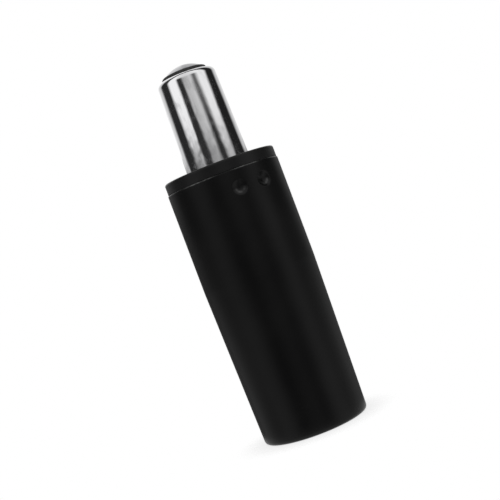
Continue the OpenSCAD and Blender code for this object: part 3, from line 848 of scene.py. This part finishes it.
# Brightness round the object, in (left, right) pairs, with all angles in degrees. Edges are bearings off
# the camera's, soft is half the width over which an edge fades, and grow is how far it moves out with
# height. Swing and Off are the bearings, and Rise and Fall the heights, from which and to which one
# brightness goes over to another.
studioLook = dict(
    front=(0.53, 0.66), frontEdges=(-11.2, 22), frontSoft=(5, 8), frontGrow=(1, 0.4),
    gap=0.03, gapHigh=0.11, gapSwing=(-5, 15), gapRise=(8.8, 11.5),
    softbox=(1.03, 0.95), boxEdges=(-38.5, 45.2), boxSoft=(5, 10), boxGrow=(-0.7, -0.8),
    flag=(0.025, 0.016), flagEdges=(-75, 79), flagSoft=(8, 8), flagGrow=(0, 1.6),
    flagLow=0.12, flagFall=(-8, -18), nearSwing=(-15, 15),
    backdrop=(0.7, 0.59), backEdges=(-120.5, 129), backSoft=(9, 9), backGrow=(0, 0), backSwing=(-90, 90),
    backdropFar=(1.1, 0.8), farOff=(130, 165), backdropLow=(0.06, 0.19), lowRise=(4.2, 6),
    lowFall=(-14, -22), backdropMiddle=0.5, middleOff=(155, 178),
    horizon=(0.2, 0.55), horizonSwing=(-40, 15), horizonRise=(7.5, 8.8), mist=0.9, mistRise=(8.5, 11),
    overhead=0.8, overheadRise=(15, 33), lower=0.7, lowerFall=(-12, -22),
    belt=0.6, beltFall=(0, -7), beltFoot=(-11, -26), below=0.05, belowSides=0.68, sidesOff=(15, 65),
    belowBack=0.12, backOff=(118, 150), backOffEnd=(160, 178),
    ceiling=0.012, ceilingRise=(62, 70), behind=(-0.02, -0.12),
    mirror=-3, spread=(-3, 3), spreadRise=(6, 12), diffuse=0.95,
)


def makeWorld():
    # Two soft boxes beside the camera, dark flags at the sides, a pale backdrop behind and a dark
    # ceiling over it. All of it is dimmer near level, with a grey belt under that, and comes again below.
    # Reflections show this studio. Matt surfaces get an even light, and the camera sees white.
    look = studioLook
    world = bpy.data.worlds.new("studio")
    bpy.context.scene.world = world
    world.use_nodes = True
    world.cycles.sampling_method = "NONE"
    bench = Bench(world.node_tree)
    way = bench.add("ShaderNodeSeparateXYZ", None, {0: bench.add("ShaderNodeTexCoord", out="Generated")})
    x, y, z = way.pick("X"), way.pick("Y"), way.pick("Z")
    ahead = x * toCamera[0] + y * toCamera[1]
    aside = x * toRight[0] + y * toRight[1]
    swing = aside.maths("ARCTAN2", aside, ahead) * (180 / math.pi)
    off = swing.maths("ABSOLUTE", swing)
    height = z.maths("ARCSINE", z) * (180 / math.pi)
    rise = height.maths("ABSOLUTE", height - look["mirror"]) + look["mirror"]
    spread = bench.ramp(rise, *look["spreadRise"], *look["spread"])

    def sides(name, between):
        # From the left level to the right one
        return bench.ramp(swing, *look[between], *look[name])

    def outside(name):
        # 0 between a pair of edges and 1 outside them
        edges, soft, grow = look[name + "Edges"], look[name + "Soft"], look[name + "Grow"]
        left = bench.ramp(swing + spread * grow[0], edges[0] + soft[0], edges[0] - soft[0])
        right = bench.ramp(swing - spread * grow[1], edges[1] - soft[1], edges[1] + soft[1])
        return left + right

    dim = sides("horizon", "horizonSwing").toward(1, bench.ramp(rise, *look["horizonRise"]))
    dim = dim * bench.ramp(rise, *look["mistRise"], look["mist"], 1)
    gap = bench.ramp(swing, *look["gapSwing"]) * bench.ramp(rise, *look["gapRise"], 0, look["gapHigh"])
    flag = sides("flag", "nearSwing").toward(look["flagLow"], bench.ramp(height, *look["flagFall"]))
    far = bench.ramp(off, *look["farOff"])
    backdrop = sides("backdrop", "backSwing").toward(sides("backdropFar", "backSwing"), far)
    middle = bench.ramp(off, *look["middleOff"])
    backdropLow = sides("backdropLow", "backSwing").toward(look["backdropMiddle"], middle)
    awayFromLevel = bench.ramp(height, *look["lowRise"]) + bench.ramp(height, *look["lowFall"])
    backdrop = backdropLow.toward(backdrop, awayFromLevel)
    level = sides("front", "frontEdges") * dim
    level = level.toward(gap + look["gap"], outside("front"))
    level = level.toward(look["overhead"], bench.ramp(height, *look["overheadRise"]))
    level = level.toward(sides("softbox", "nearSwing") * dim, outside("box"))
    level = level.toward(flag, outside("flag"))
    level = level.toward(backdrop, outside("back"))
    level = level * bench.ramp(height, *look["lowerFall"], 1, look["lower"])
    below = bench.ramp(off, *look["sidesOff"], look["below"], look["belowSides"])
    atBack = bench.ramp(off, *look["backOff"]) * bench.ramp(off, *look["backOffEnd"], 1, 0)
    below = below.toward(look["belowBack"], atBack)
    belt = bench.ramp(height, *look["beltFall"]) * bench.ramp(height, *look["beltFoot"], look["belt"], 0)
    level = level.toward(below, belt)
    overBack = bench.ramp(ahead, *look["behind"]) * bench.ramp(height, *look["ceilingRise"])
    level = level.toward(look["ceiling"], overBack)
    path = bench.add("ShaderNodeLightPath")
    level = level.toward(look["diffuse"], path.pick("Is Diffuse Ray"))
    level = level.toward(1, path.pick("Is Camera Ray"))
    light = bench.add("ShaderNodeBackground", None, {"Color": (1, 1, 1, 1), "Strength": level})
    bench.add("ShaderNodeOutputWorld", None, {"Surface": light})


makeWorld()

floorLook = dict(
    size=500 * mm, drop=0.05 * mm, colour=(0.95, 0.95, 0.95), glow=0.72, fadeFrom=23.5 * mm, fadeTo=38 * mm,
)


def makeFloor():
    # A flat square that fades out from its middle. It shows pale, with the shadow laid lightly over it.
    # From below it is clear, so the foot shows.
    half = floorLook["size"] / 2
    along = np.linspace(-half, half, 3)
    x, y = np.meshgrid(along, along)
    points = np.stack([x, y, np.full_like(x, -floorLook["drop"])], axis=-1).reshape(-1, 3)
    index = np.arange(x.size).reshape(x.shape)
    quads = np.stack([index[:-1, :-1], index[:-1, 1:], index[1:, 1:], index[1:, :-1]], axis=-1).reshape(-1, 4)
    mesh = bpy.data.meshes.new("floor")
    mesh.from_pydata(points, [], quads.tolist())
    floor = bpy.data.objects.new("floor", mesh)
    bpy.context.scene.collection.objects.link(floor)
    finish, bench = newFinish("paleFloor")
    lit = bench.add("ShaderNodeBsdfDiffuse", None, {"Color": (*floorLook["colour"], 1)})
    glow = bench.add("ShaderNodeEmission", None, {"Color": (1, 1, 1, 1)})
    path = bench.add("ShaderNodeLightPath")
    seen = path.pick("Is Camera Ray") + path.pick("Is Glossy Ray") + path.pick("Is Transmission Ray")
    pale = bench.add("ShaderNodeMixShader", None, {0: seen * floorLook["glow"], 1: lit, 2: glow})
    fromMiddle = bench.add("ShaderNodeVectorMath", {"operation": "LENGTH"}, {0: bench.place()}, "Value")
    thin = bench.ramp(fromMiddle, floorLook["fadeFrom"], floorLook["fadeTo"])
    underside = bench.add("ShaderNodeNewGeometry", out="Backfacing")
    clear = bench.add("ShaderNodeBsdfTransparent")
    faded = bench.add("ShaderNodeMixShader", None, {0: thin.toward(1, underside), 1: pale, 2: clear})
    bench.add("ShaderNodeOutputMaterial", None, {"Surface": faded})
    mesh.materials.append(finish)


makeFloor()
bpy.context.scene.view_settings.view_transform = "Standard"
print("studio set")
